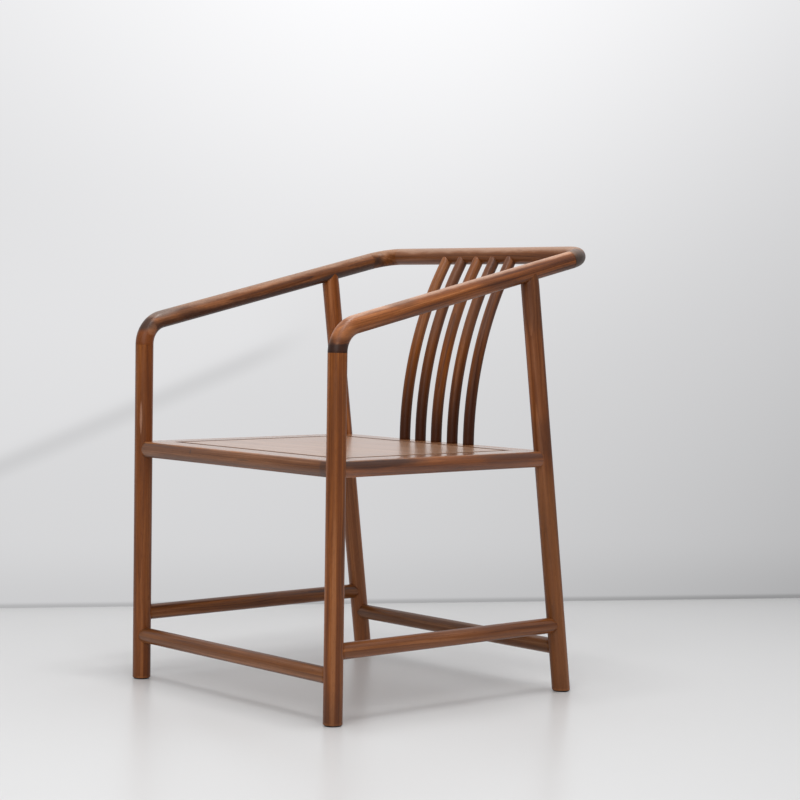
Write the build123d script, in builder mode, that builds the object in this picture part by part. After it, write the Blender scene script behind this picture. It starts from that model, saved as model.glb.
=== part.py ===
from build123d import *
from math import asin, atan2, cos, degrees, radians, sin, tan
import os

# Horseshoe back armchair: a round-section wooden frame with a panelled seat. Millimetres, +Z up.
# The chair faces -Y. The origin is on the floor, in the middle of the chair's outline.

# ---- driving dimensions ------------------------------------------------------------------------
leg_d = 33.0
arm_d = 32.0               # arms and crest rail
leg_tip = 30.0             # length over which a leg tapers to the arm that it meets
leg_tip_shy = 1.0          # back leg's top radius below the arm's, so that its cope ends cleanly
leg_spacing_x = 560.0      # between leg axes, side to side
leg_spacing_y = 480.0      # between leg axes at seat height, front to back
back_leg_rake = 7.5        # degrees that a back leg leans forward as it rises
seat_height = 440.0        # top of the seat
glide_t = 2.0              # glide under each foot
glide_inset = 2.0          # glide edge inside the foot's edge
foot_round = 1.5           # rounded edge under each leg
nail_d = 3.0
nail_length = 14.0

arm_height = 657.0         # arm axis, above the front legs
crest_height = 794.0       # crest rail axis
crest_setback = 105.0      # crest rail axis behind the back leg axes at seat height
elbow_radius = 52.0        # centre line of the arm's front bend
corner_radius = 46.0       # centre line of the crest rail's end bends
bow_dowel_d = 10.0
bow_dowel_in_arm = 26.0
bow_dowel_in_crest = 18.0

rail_height = 28.0         # seat rails
rail_reveal = 4.2          # rail's outer face behind the outside of the legs
rail_bulge = 4.3           # how far the outer face swells at mid height
rail_inner = 44.0          # rail's inner face inside the leg axes
rail_edge_round = 3.0
rail_tenon_t = 9.0
rail_tenon_h = 15.0
rail_tenon_web = 1.0       # wood left between two tenons that meet in one leg

panel_t = 13.0             # seat panel
panel_gap = 3.0            # between the panel's edge and each rail
panel_chamfer = 1.0        # eased edges on both sides of that groove
tongue_t = 5.0
tongue_length = 8.0
tongue_drop = 6.0          # top of the tongue below the top of the seat
tongue_slot_spare = 1.4    # room for the panel to swell, beyond the tongue
batten_spacing = 230.0
batten_w = 30.0
batten_h = 14.0            # below the panel's underside
batten_key_w = 18.0        # dovetail's neck
batten_key_h = 4.0         # dovetail let into the panel
batten_key_flare = 3.0     # dovetail's overhang on each side
batten_tenon_length = 9.0
batten_tenon_w = 22.0
batten_tenon_h = 9.0

slat_count = 5
slat_pitch = 44.8
slat_d = 20.0
slat_setin = 5.5           # slat axes inside the back leg axes, at the seat
slat_lead = 2.5            # slats reach the crest rail this far in front of its axis
slat_tenon_d = 12.0
slat_foot_tenon = 16.0
slat_top_tenon = 7.0       # beyond the crest rail's axis height

stretcher_d = 28.0
end_stretcher_height = 81.5     # front and back stretcher axes
side_stretcher_height = 122.5
stretcher_tenon_d = 16.0
stretcher_tenon = 22.0     # into the leg, from its surface

leg_tenon_d = 15.0         # round tenons at the top of the legs
front_leg_tenon = 20.0
back_leg_tenon = 6.0       # beyond the arm's axis
tenon_root = 5.0           # how far a square tenon is drawn back into its own piece
fit = 0.1                  # clearance round every tenon, for glue
tenon_end_gap = 0.5        # clearance past the end of every tenon

# ---- derived places ----------------------------------------------------------------------------
leg_r = leg_d / 2
arm_r = arm_d / 2
leg_x = leg_spacing_x / 2
outline_depth = leg_r + leg_spacing_y + crest_setback + arm_r
front_y = leg_r - outline_depth / 2          # front leg axes
back_y = front_y + leg_spacing_y             # back leg axes at seat height
crest_y = back_y + crest_setback
mid_y = (front_y + back_y) / 2
lean = tan(radians(back_leg_rake))

bow_slope = atan2(crest_height - arm_height, crest_y - front_y)
bow_length = (crest_y - front_y) / cos(bow_slope)
arm_end = bow_length - corner_radius         # along the slope, where arm and crest rail meet
elbow_turn = 90 - degrees(bow_slope)
elbow_run = elbow_radius * tan(radians(elbow_turn / 2))
elbow_z = arm_height - elbow_run             # joint between front leg and arm
bow_plane = Plane(
    origin=(0, front_y, arm_height),
    x_dir=(1, 0, 0),
    z_dir=(0, -sin(bow_slope), cos(bow_slope)),
)
# Height at which the back leg axes cross the arm axes.
back_top = arm_height + (leg_spacing_y + seat_height * lean) * tan(bow_slope)
back_top = back_top / (1 + lean * tan(bow_slope))

seat_bottom = seat_height - rail_height
rail_out = leg_r - rail_reveal               # outermost line of the rail, from the leg axes
rail_mid_z = seat_height - rail_height / 2
rail_tenon_depth = leg_r - rail_tenon_t / 2 - rail_tenon_web
panel_x = leg_x - rail_inner                 # half the seat opening
panel_y = leg_spacing_y / 2 - rail_inner
panel_bottom = seat_height - panel_t
tongue_top = seat_height - tongue_drop
tongue_slot_depth = tongue_length - panel_gap + tongue_slot_spare

slat_y = back_y - slat_setin
slat_rise = crest_height - seat_height
slat_run = crest_y - slat_lead - slat_y
slat_radius = (slat_rise**2 + slat_run**2) / (2 * slat_run)
slat_turn = degrees(asin(slat_rise / slat_radius))


def back_axis_y(z):
    """Where the back leg axis is at height z."""
    return back_y - (z - seat_height) * lean


def save(piece, name):
    """Label a finished piece and write it to its own file."""
    piece.part.label = name
    export_step(piece.part, f"parts/{name}.step")


os.makedirs("parts", exist_ok=True)
sides = ((-1, "left"), (1, "right"))
ends = ((-1, "front"), (1, "back"))


# ---- blanks: plain shapes that neighbouring pieces are fitted to ---------------------------------
def arm_blank(side):
    """Arm: up out of the elbow joint, round the elbow, then straight up the slope."""
    with BuildPart() as blank:
        with BuildLine(Plane.YZ.offset(side * leg_x)) as path:
            elbow = JernArc((front_y, elbow_z), (0, 1), elbow_radius, -elbow_turn)
            Line(elbow @ 1, elbow @ 1 + (arm_end - elbow_run) * (elbow % 1))
        with BuildSketch(Plane(origin=path.line @ 0, z_dir=path.line % 0)):
            Circle(arm_r)
        sweep(path=path.line)
    return blank.part


def crest_blank():
    """Crest rail: straight across the back, with a bend forward at each end."""
    with BuildPart() as blank:
        with BuildLine(bow_plane) as path:
            first = JernArc((-leg_x, arm_end), (0, 1), corner_radius, -90)
            across = Line(first @ 1, (leg_x - corner_radius, bow_length))
            JernArc(across @ 1, (1, 0), corner_radius, -90)
        with BuildSketch(Plane(origin=path.line @ 0, z_dir=path.line % 0)):
            Circle(arm_r)
        sweep(path=path.line)
    return blank.part


def round_bar(start, direction, length, radius):
    """Plain round bar from a point, along a direction."""
    with BuildPart() as bar:
        with BuildSketch(Plane(origin=start, z_dir=direction)):
            Circle(radius)
        extrude(amount=length)
    return bar.part


def leg_axis(side, end, z):
    """Point on a leg's axis at height z."""
    return Vector(side * leg_x, front_y if end < 0 else back_axis_y(z), z)


def leg_bar(side, end, radius, low, high):
    """Round bar on a leg's axis between two heights."""
    start = leg_axis(side, end, low)
    span = leg_axis(side, end, high) - start
    return round_bar(start, span.normalized(), span.length, radius)


def leg_top(side, end, high, tip_radius):
    """Tapered top of a leg, up to height high."""
    span = leg_axis(side, end, high) - leg_axis(side, end, 0)
    way = span.normalized()
    with BuildPart() as tip:
        with BuildSketch(Plane(origin=leg_axis(side, end, high) - way * leg_tip, z_dir=way)):
            Circle(leg_r)
        with BuildSketch(Plane(origin=leg_axis(side, end, high), z_dir=way)):
            Circle(tip_radius)
        loft()
    return tip.part


def stretcher_bar(name, radius, past):
    """Round bar on a stretcher's axis, from leg axis to leg axis and past them at both ends."""
    if name in ("front", "back"):
        end = -1 if name == "front" else 1
        start = leg_axis(-1, end, end_stretcher_height)
        stop = leg_axis(1, end, end_stretcher_height)
    else:
        side = -1 if name == "left" else 1
        start = leg_axis(side, -1, side_stretcher_height)
        stop = leg_axis(side, 1, side_stretcher_height)
    way = (stop - start).normalized()
    return round_bar(start - way * past, way, (stop - start).length + 2 * past, radius)


def rail_tenon(side, end, across, spare, end_gap):
    """Square tenon of a front or back rail (across) or of a side rail, at one leg."""
    leg = leg_axis(side, end, rail_mid_z)
    tip = leg_r - rail_tenon_depth - end_gap
    root = leg_r + tenon_root
    thick, high = rail_tenon_t + 2 * spare, rail_tenon_h + 2 * spare
    with BuildPart() as tenon:
        if across:
            with Locations((leg.X - side * (root + tip) / 2, leg.Y, leg.Z)):
                Box(root - tip, thick, high)
        else:
            with Locations((leg.X, leg.Y - end * (root + tip) / 2, leg.Z)):
                Box(thick, root - tip, high)
    return tenon.part


def slat_bar(x, radius, turn):
    """Round bar bent along a slat's curve, from the seat upwards."""
    with BuildPart() as bar:
        with BuildSketch(Plane.XY.offset(seat_height)):
            with Locations((x, slat_y)):
                Circle(radius)
        revolve(axis=Axis((x, slat_y + slat_radius, seat_height), (-1, 0, 0)), revolution_arc=turn)
    return bar.part


def bow_dowel(side, spare, end_gap):
    """Dowel from the end of an arm into the crest rail."""
    slope_way = Vector(0, cos(bow_slope), sin(bow_slope))
    joint = Vector(side * leg_x, front_y, arm_height) + slope_way * arm_end
    start = joint - slope_way * (bow_dowel_in_arm + end_gap)
    length = bow_dowel_in_arm + bow_dowel_in_crest + 2 * end_gap
    return round_bar(start, slope_way, length, bow_dowel_d / 2 + spare)


def batten_tenons(side, spare, end_gap):
    """Stub tenons at both ends of a batten."""
    length = 2 * (panel_y + batten_tenon_length + end_gap)
    with BuildPart() as tenons:
        with Locations((side * batten_spacing / 2, mid_y, panel_bottom - batten_h / 2)):
            Box(batten_tenon_w + 2 * spare, length, batten_tenon_h + 2 * spare)
    return tenons.part


arms = {side: arm_blank(side) for side, _ in sides}
crest = crest_blank()
slat_places = [slat_pitch * (i - (slat_count - 1) / 2) for i in range(slat_count)]
slat_tenon_turn = slat_turn + degrees(slat_top_tenon / slat_radius)
glide_r = leg_r - glide_inset

# ---- legs --------------------------------------------------------------------------------------
for side, side_name in sides:
    for end, end_name in ends:
        top = elbow_z if end < 0 else back_top
        upright = leg_axis(side, end, top) - leg_axis(side, end, 0)
        tip_z = top - leg_tip * upright.Z / upright.length
        with BuildPart() as leg:
            add(leg_bar(side, end, leg_r, -leg_d, tip_z))
            split(bisect_by=Plane.XY.offset(glide_t), keep=Keep.TOP)
            fillet(leg.edges().group_by(Axis.Z)[0], foot_round)
            add(leg_top(side, end, top, arm_r if end < 0 else arm_r - leg_tip_shy))
            if end > 0:
                add(arms[side], mode=Mode.SUBTRACT)
                add(leg_bar(side, end, leg_tenon_d / 2, top - leg_d, top + back_leg_tenon))
            else:
                add(leg_bar(side, end, leg_tenon_d / 2, top, top + front_leg_tenon))
            for across in (True, False):
                add(rail_tenon(side, end, across, fit, tenon_end_gap), mode=Mode.SUBTRACT)
            for name in (end_name, side_name):
                past = stretcher_tenon - leg_r + tenon_end_gap
                add(stretcher_bar(name, stretcher_tenon_d / 2 + fit, past), mode=Mode.SUBTRACT)
            with BuildSketch(Plane(origin=leg_axis(side, end, glide_t))):
                Circle(nail_d / 2 + fit)
            extrude(amount=nail_length + tenon_end_gap, mode=Mode.SUBTRACT)
        save(leg, f"{end_name}_leg_{side_name}")

        with BuildPart() as glide:
            with BuildSketch(Plane(origin=leg_axis(side, end, 0))):
                Circle(glide_r)
            extrude(amount=glide_t)
            fillet(glide.edges().group_by(Axis.Z)[0], glide_t / 3)
            with BuildSketch(Plane(origin=leg_axis(side, end, glide_t))):
                Circle(nail_d / 2)
            extrude(amount=nail_length)
        save(glide, f"glide_{end_name}_{side_name}")

# ---- arms and crest rail -------------------------------------------------------------------------
for side, side_name in sides:
    with BuildPart() as arm:
        add(arms[side])
        front_top = elbow_z + front_leg_tenon + tenon_end_gap
        add(leg_bar(side, -1, leg_tenon_d / 2 + fit, elbow_z - leg_d, front_top), mode=Mode.SUBTRACT)
        tenon_top = back_top + back_leg_tenon + tenon_end_gap
        add(leg_bar(side, 1, leg_tenon_d / 2 + fit, back_top - leg_d, tenon_top), mode=Mode.SUBTRACT)
        add(bow_dowel(side, fit, tenon_end_gap), mode=Mode.SUBTRACT)
    save(arm, f"arm_{side_name}")

    with BuildPart() as dowel:
        add(bow_dowel(side, 0, 0))
    save(dowel, f"bow_dowel_{side_name}")

with BuildPart() as crest_rail:
    add(crest)
    for side, _ in sides:
        add(bow_dowel(side, fit, tenon_end_gap), mode=Mode.SUBTRACT)
    for x in slat_places:
        deep_turn = slat_tenon_turn + degrees(tenon_end_gap / slat_radius)
        add(slat_bar(x, slat_tenon_d / 2 + fit, deep_turn), mode=Mode.SUBTRACT)
save(crest_rail, "crest_rail")

# ---- back slats ----------------------------------------------------------------------------------
for i, x in enumerate(slat_places):
    with BuildPart() as slat:
        add(slat_bar(x, slat_d / 2, slat_turn))
        add(crest, mode=Mode.SUBTRACT)
        add(slat_bar(x, slat_tenon_d / 2, slat_tenon_turn))
        add(round_bar((x, slat_y, seat_height), (0, 0, -1), slat_foot_tenon, slat_tenon_d / 2))
    save(slat, f"back_slat_{i + 1}")


# ---- seat rails ------------------------------------------------------------------------------------
def rail_length(centre, outward, half_length):
    """Seat rail section run along one side of the seat: swollen face, eased edge, tongue slot."""
    section_plane = Plane(origin=centre, x_dir=outward, z_dir=outward.cross(Vector(0, 0, 1)))
    slot_h = tongue_t + fit
    with BuildPart() as length:
        with BuildSketch(section_plane) as section:
            with BuildLine():
                edge = rail_out - rail_bulge
                face = ThreePointArc((edge, seat_bottom), (rail_out, rail_mid_z), (edge, seat_height))
                Polyline(face @ 1, (-rail_inner, seat_height), (-rail_inner, seat_bottom), face @ 0)
            make_face()
            fillet(section.vertices().group_by(Axis.X)[-1], rail_edge_round)
            chamfer(section.vertices().group_by(Axis.X)[0].sort_by(Axis.Y)[-1], panel_chamfer)
            with Locations((tongue_slot_depth / 2 - rail_inner, tongue_top - tongue_t + slot_h / 2)):
                Rectangle(tongue_slot_depth, slot_h, mode=Mode.SUBTRACT)
        extrude(amount=half_length, both=True)
    return length.part


def mitred(half_long, half_cross, toward, across):
    """Plan of one rail: square behind the legs, mitred from each leg axis to the seat opening."""
    inner_long = half_long - rail_inner
    corners = (
        (-half_long, toward * (half_cross + leg_r)),
        (half_long, toward * (half_cross + leg_r)),
        (half_long, toward * half_cross),
        (inner_long, toward * (half_cross - rail_inner)),
        (-inner_long, toward * (half_cross - rail_inner)),
        (-half_long, toward * half_cross),
    )
    if not across:
        corners = [(y, x) for x, y in corners]
    with BuildPart() as plan:
        with BuildSketch(Plane(origin=(0, mid_y, seat_bottom))):
            with BuildLine():
                Polyline(*corners, close=True)
            make_face()
        extrude(amount=rail_height)
    return plan.part


for end, end_name in ends:
    with BuildPart() as rail:
        add(rail_length(Vector(0, front_y if end < 0 else back_y, 0), Vector(0, end, 0), leg_x))
        add(mitred(leg_x, leg_spacing_y / 2, end, True), mode=Mode.INTERSECT)
        for side, _ in sides:
            add(leg_bar(side, end, leg_r, seat_bottom - leg_d, seat_height + leg_d), mode=Mode.SUBTRACT)
            add(rail_tenon(side, end, True, 0, 0))
            add(batten_tenons(side, fit, tenon_end_gap), mode=Mode.SUBTRACT)
        if end > 0:
            for x in slat_places:
                with BuildSketch(Plane(origin=(x, slat_y, seat_height), z_dir=(0, 0, -1))):
                    Circle(slat_tenon_d / 2 + fit)
                extrude(amount=slat_foot_tenon + tenon_end_gap, mode=Mode.SUBTRACT)
    save(rail, f"seat_rail_{end_name}")

for side, side_name in sides:
    with BuildPart() as rail:
        add(rail_length(Vector(side * leg_x, mid_y, 0), Vector(side, 0, 0), leg_spacing_y / 2))
        add(mitred(leg_spacing_y / 2, leg_x, side, False), mode=Mode.INTERSECT)
        for end, _ in ends:
            add(leg_bar(side, end, leg_r, seat_bottom - leg_d, seat_height + leg_d), mode=Mode.SUBTRACT)
            add(rail_tenon(side, end, False, 0, 0))
    save(rail, f"seat_rail_{side_name}")

# ---- seat panel and its battens --------------------------------------------------------------------
def batten_key(x, half_length):
    """Dovetail along a batten's top, let into the underside of the panel."""
    neck, top = batten_key_w / 2, batten_key_w / 2 + batten_key_flare
    with BuildPart() as key:
        with BuildSketch(Plane(origin=(x, mid_y, panel_bottom), x_dir=(1, 0, 0), z_dir=(0, -1, 0))):
            with BuildLine():
                Polyline((-neck, 0), (-top, batten_key_h), (top, batten_key_h), (neck, 0), close=True)
            make_face()
        extrude(amount=half_length, both=True)
    return key.part


with BuildPart() as seat_panel:
    board_x, board_y = panel_x - panel_gap, panel_y - panel_gap
    with BuildSketch(Plane(origin=(0, mid_y, panel_bottom))):
        Rectangle(2 * board_x, 2 * board_y)
    extrude(amount=panel_t)
    chamfer(seat_panel.faces().sort_by(Axis.Z)[-1].edges(), panel_chamfer)
    with BuildSketch(Plane(origin=(0, mid_y, tongue_top - tongue_t))):
        Rectangle(2 * (board_x + tongue_length), 2 * (board_y + tongue_length))
    extrude(amount=tongue_t)
    for side, _ in sides:
        key = batten_key(side * batten_spacing / 2, board_y + 2 * tongue_length)
        add(key, mode=Mode.SUBTRACT)
save(seat_panel, "seat_panel")

for side, side_name in sides:
    with BuildPart() as batten:
        with BuildSketch(Plane(origin=(side * batten_spacing / 2, mid_y, panel_bottom - batten_h))):
            Rectangle(batten_w, 2 * panel_y)
        extrude(amount=batten_h)
        add(batten_key(side * batten_spacing / 2, board_y))
        add(batten_tenons(side, 0, 0))
    save(batten, f"seat_batten_{side_name}")

# ---- stretchers --------------------------------------------------------------------------------------
for name, corners in (
    ("front", ((-1, -1), (1, -1))),
    ("back", ((-1, 1), (1, 1))),
    ("left", ((-1, -1), (-1, 1))),
    ("right", ((1, -1), (1, 1))),
):
    with BuildPart() as stretcher:
        add(stretcher_bar(name, stretcher_d / 2, 0))
        for side, end in corners:
            add(leg_bar(side, end, leg_r, 0, seat_bottom), mode=Mode.SUBTRACT)
        add(stretcher_bar(name, stretcher_tenon_d / 2, stretcher_tenon - leg_r))
    save(stretcher, f"stretcher_{name}")
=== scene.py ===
"""Horseshoe back armchair: a turned and bent hardwood frame with a panelled seat."""

import math

import bmesh
import bpy
from bpy.props import FloatProperty, FloatVectorProperty, IntProperty, PointerProperty
from mathutils import Matrix, Vector


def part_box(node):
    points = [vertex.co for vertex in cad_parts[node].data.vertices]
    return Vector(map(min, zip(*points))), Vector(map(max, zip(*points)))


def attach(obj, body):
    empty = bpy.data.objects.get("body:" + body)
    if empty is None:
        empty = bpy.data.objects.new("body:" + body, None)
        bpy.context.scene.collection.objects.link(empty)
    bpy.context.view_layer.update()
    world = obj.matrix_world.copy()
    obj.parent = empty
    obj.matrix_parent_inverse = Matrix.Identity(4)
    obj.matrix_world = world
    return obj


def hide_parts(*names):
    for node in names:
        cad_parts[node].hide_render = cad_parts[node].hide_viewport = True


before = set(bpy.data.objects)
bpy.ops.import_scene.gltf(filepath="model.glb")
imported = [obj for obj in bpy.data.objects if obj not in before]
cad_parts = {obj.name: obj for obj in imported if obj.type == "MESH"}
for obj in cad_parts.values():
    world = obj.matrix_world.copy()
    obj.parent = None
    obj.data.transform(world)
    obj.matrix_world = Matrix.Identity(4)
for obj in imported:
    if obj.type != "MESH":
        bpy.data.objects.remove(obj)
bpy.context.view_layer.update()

bl_info = {
    "name": "Horseshoe Back Armchair",
    "version": (1, 0, 0),
    "blender": (4, 5, 0),
    "location": "3D View > Sidebar > Armchair",
    "description": "Builds a wooden armchair round its packed frame, piece by piece",
    "category": "Object",
}

MM = 0.001
X, Y, Z = Vector((1, 0, 0)), Vector((0, 1, 0)), Vector((0, 0, 1))
SIDES = ((-1, "left"), (1, "right"))
CORNERS = [(*side, *end) for side in SIDES for end in ((-1, "front"), (1, "back"))]


# ---- places taken from the frame ----
def middle(node):
    """Centre of a node's box."""
    low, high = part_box(node)
    return (low + high) / 2


LEG_X = middle("front_leg_right").x
FRONT_Y = middle("front_leg_right").y
SEAT_LOW, SEAT_TOP = (corner.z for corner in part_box("seat_rail_front"))
BACK_Y = middle("glide_back_right").y
CREST_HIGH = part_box("crest_rail")[1]
GLIDE_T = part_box("front_leg_right")[0].z
LOW_STRETCHER_Z = middle("stretcher_front").z
STRETCHER_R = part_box("stretcher_front")[1].z - LOW_STRETCHER_Z
HIGH_STRETCHER_Z = middle("stretcher_left").z
SLAT_X = [middle(f"back_slat_{i}").x for i in range(1, 6)]
BACK_RAKE = math.radians(7.5)

COPE = 4 * MM  # short steps in which a bar ends on another
STOP_SHORT = 6 * MM  # where a bar's plain run stops before what it meets
SUNK = 0.5 * MM  # how far the slats' feet reach into the seat
MITRE_GAP = 0.12 * MM  # half the joint between two seat rails
JOINT, BY_JOINT = 1.0, 0.35  # dark line at a joint and beside it: finish build-up and painted shade in the crease
ELBOW_JOINT, BY_ELBOW = 0.7, 0.2  # the same under the elbows
MATT_SEAM = 0.45  # a seam up to this only loses its gloss, and above it also goes dark with painted shade
GROOVE_SHADE = 0.2 * MM  # depth over which the edge of the seat's groove goes dark with painted shade
NEAR = 0.01 * MM  # places closer than this count as one
SHARP = math.radians(35)  # edges turned further than this stay sharp
END_CUT = (0.72, 0.97)  # how squarely a surface cuts the grain where end grain begins, and is full

EYE = Vector((3.00393, -2.53126, 0.70393))
EYE_TURN, EYE_DIP, EYE_ROLL = (math.radians(angle) for angle in (48.8779, 2.6363, 0.8294))
HALF_PIXEL = 0.5 / 800  # as a share of the picture's width
SHEET_SIZE = 40
WALL_FOOT = Vector((-0.746, 0.752, 0))
TOP_LAMP = Vector((0.22, -0.12, 2.6))
CORNER_LAMP_WAY = Vector((0.35, -0.33, 1)).normalized()
SIDE_LAMP_WAY = Vector((math.sin(0.6), -math.cos(0.6), 0.42))


# ---- sizes and finishes that can be changed ----
def number(name, description, default, **kind):
    """A number property that isn't negative."""
    return FloatProperty(name=name, description=description, default=default, min=0, **kind)


def length(name, description, default):
    """A length property in metres, stated in millimetres."""
    return number(name, description, default * MM, unit="LENGTH")


def colour(name, description, default):
    """A colour property, stated in linear light."""
    return FloatVectorProperty(
        name=name, description=description, default=default, size=3, min=0, max=1, subtype="COLOR"
    )


class ArmchairSizes(bpy.types.PropertyGroup):
    """Sections, bends and small edges of the frame."""

    leg_d: length("Leg", "Diameter of a leg", 33)
    arm_d: length("Arm", "Diameter of the arms and the crest rail", 32)
    slat_d: length("Slat", "Diameter of a back slat", 20.8)
    leg_tip_shy: length("Tip shy", "Back leg's top radius below its own", 0.6)
    elbow: length("Elbow", "Bend radius at the front of an arm", 48)
    corner: length("Corner", "Bend radius at the ends of the crest rail", 46)
    arm_z: length("Arm height", "Arm axis above the front legs", 657)
    slat_setin: length("Slat set-in", "Slat axes in front of the back leg axes", 5.5)
    slat_lead: length("Slat lead", "Slat tops in front of the crest rail's axis", 2.5)
    rail_reveal: length("Rail reveal", "Seat rail's face behind the outside of the legs", 4.2)
    rail_bulge: length("Rail bulge", "Swell of a seat rail's outer face", 4.3)
    rail_inner: length("Rail inner", "Rail's inner face inside the leg axes", 44)
    rail_round: length("Rail edge", "Rounding of a seat rail's outer edges", 3)
    groove: length("Groove", "Width of the groove round the seat panel", 3)
    groove_ease: length("Groove ease", "Eased edges of the groove", 4)
    groove_matt: length("Groove matt", "Strip by the groove where the lacquer has gone matt", 4)
    under_ease: length("Under ease", "Eased edges under the seat rails", 1)
    panel_t: length("Panel", "Thickness of the seat panel", 13)
    tongue_t: length("Tongue", "Thickness of the panel's tongue", 5)
    tongue_drop: length("Tongue drop", "Top of the tongue below the seat", 6)
    foot_round: length("Foot edge", "Rounded edge under each leg", 1.5)
    hairline: length("Hairline", "Eased edge where two pieces meet", 0.2)
    facets: IntProperty(
        name="Facets", description="Faces round a turned bar", default=64, min=16, max=128
    )


class ArmchairFinish(bpy.types.PropertyGroup):
    """Colours of the wood, its end grain and the glides."""

    dark: colour("Dark wood", "Late wood and dark streaks", (0.048, 0.0115, 0.0042))
    warm: colour("Heartwood", "Main colour of the wood", (0.240, 0.072, 0.0135))
    pale: colour("Early wood", "Pale streaks", (0.45, 0.175, 0.058))
    end: colour("End grain", "Colour of end grain under lacquer", (0.030, 0.019, 0.014))
    glide: colour("Glide", "Plastic under the feet", (0.012, 0.011, 0.010))


class ArmchairStudio(bpy.types.PropertyGroup):
    """Camera, lamps, floor and wall."""

    lens: number("Lens", "Focal length", 96.395, unit="CAMERA")
    wall_turn: number("Wall", "Way the wall faces", math.radians(59.8), subtype="ANGLE")
    top_lamp: number("Top lamp", "Power of both lamps overhead", 25, unit="POWER")
    side_lamp: number("Side lamp", "Power of the soft lamp in front", 20, unit="POWER")
    horizon: number("Horizon light", "Studio light from the sides", 0.36)
    zenith: number("Ceiling light", "Studio light from above", 1.0)
    floor: colour("Floor", "Floor paint", (0.66, 0.66, 0.66))


# ---- shader maths ----
class Wire:
    """A number between shader nodes. Python's operators on it add Math nodes."""

    def __init__(self, recipe, socket):
        self.recipe, self.socket = recipe, socket

    def sum(self, operation, *others, swap=False):
        values = [self, *others][::-1] if swap else [self, *others]
        node = self.recipe.node("ShaderNodeMath", {"operation": operation}, dict(enumerate(values)))
        return Wire(self.recipe, node.outputs[0])

    def __add__(self, other):
        return self.sum("ADD", other)

    __radd__ = __add__

    def __sub__(self, other):
        return self.sum("SUBTRACT", other)

    def __rsub__(self, other):
        return self.sum("SUBTRACT", other, swap=True)

    def __mul__(self, other):
        return self.sum("MULTIPLY", other)

    __rmul__ = __mul__

    def __truediv__(self, other):
        return self.sum("DIVIDE", other)

    def __pow__(self, other):
        return self.sum("POWER", other)

    def __abs__(self):
        return self.sum("ABSOLUTE")

    def atmost(self, other):
        return self.sum("MINIMUM", other)

    def atleast(self, other):
        return self.sum("MAXIMUM", other)

    def whole(self):
        return self.sum("FLOOR")

    def part(self):
        return self.sum("FRACT")

    def rise(self, low, high):
        """0 below low, 1 above high, and smooth between; low may be above high."""
        sockets = {0: self, 1: low, 2: high, 3: 0.0, 4: 1.0}
        if low > high:
            sockets = {0: self, 1: high, 2: low, 3: 1.0, 4: 0.0}
        node = self.recipe.node("ShaderNodeMapRange", {"interpolation_type": "SMOOTHSTEP"}, sockets)
        return Wire(self.recipe, node.outputs[0])


class Recipe:
    """A node tree under construction."""

    def __init__(self, tree):
        self.tree = tree
        tree.nodes.clear()

    def node(self, kind, settings=None, sockets=None):
        """Add a shader node, with its settings and what goes into its sockets."""
        made = self.tree.nodes.new(kind)
        for key, value in (settings or {}).items():
            if key == "stops":
                ramp = made.color_ramp.elements
                while len(ramp) < len(value):
                    ramp.new(1.0)
                for element, (place, shade) in zip(ramp, value):
                    element.position, element.color = place, (*shade, 1)
            else:
                setattr(made, key, value)
        for key, value in (sockets or {}).items():
            if isinstance(value, Wire):
                self.tree.links.new(value.socket, made.inputs[key])
            elif isinstance(value, bpy.types.NodeSocket):
                self.tree.links.new(value, made.inputs[key])
            else:
                made.inputs[key].default_value = value
        return made

    def place(self):
        """Place in the object."""
        return self.node("ShaderNodeTexCoord").outputs["Object"]

    def attribute(self, name, output="Fac"):
        """An attribute of the mesh."""
        return self.node("ShaderNodeAttribute", {"attribute_name": name}).outputs[output]

    def vector(self, operation, first, second, output="Vector"):
        """A Vector Math node; the second value may be a plain tuple."""
        node = self.node("ShaderNodeVectorMath", {"operation": operation}, {0: first, 1: second})
        return node.outputs[output]

    def dot(self, first, second):
        return Wire(self, self.vector("DOT_PRODUCT", first, second, "Value"))

    def distance(self, first, second):
        return Wire(self, self.vector("DISTANCE", first, second, "Value"))

    def noise(self, place, stretch, detail=2.0, rough=0.5):
        """Noise on a vector stretched along each axis: its value, and its colour as a vector."""
        place = self.vector("MULTIPLY", place, stretch)
        sockets = {"Vector": place, "Scale": 1.0, "Detail": detail, "Roughness": rough}
        made = self.node("ShaderNodeTexNoise", None, sockets)
        return Wire(self, made.outputs[0]), made.outputs[1]

    def mix(self, share, first, second):
        """Colour mix."""
        sockets = {0: share, 6: first, 7: second}
        return self.node("ShaderNodeMix", {"data_type": "RGBA"}, sockets).outputs[2]

    def surface(self, shader):
        """Send a shader to the surface."""
        self.node("ShaderNodeOutputMaterial", None, {0: shader.outputs[0]})


def new_material(name):
    """A material without nodes, and the recipe that fills it."""
    material = bpy.data.materials.new(name)
    material.use_nodes = True
    return material, Recipe(material.node_tree)


def rgba(shade, gain=(1, 1, 1)):
    """Linear colour times a gain, with full alpha."""
    return (*[min(1.0, c * g) for c, g in zip(shade, gain)], 1.0)


# ---- wood ----
class Plank:
    """How a piece was cut from its board, with pith and rings in mm, and its wood's look, with
    stains and painted light and shade by place.
    """

    def __init__(self, seed, pith=(40, 70), ring=3.4, gain=(1, 1, 1), level=0.0, streaks=1.0,
                 across=1.0, stains_and_light=()):
        self.seed, self.pith, self.ring = seed, Vector((*pith, 0)) * MM, ring * MM
        self.gain, self.level, self.stains_and_light = gain, level, stains_and_light
        self.streaks, self.across = streaks, across


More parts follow.
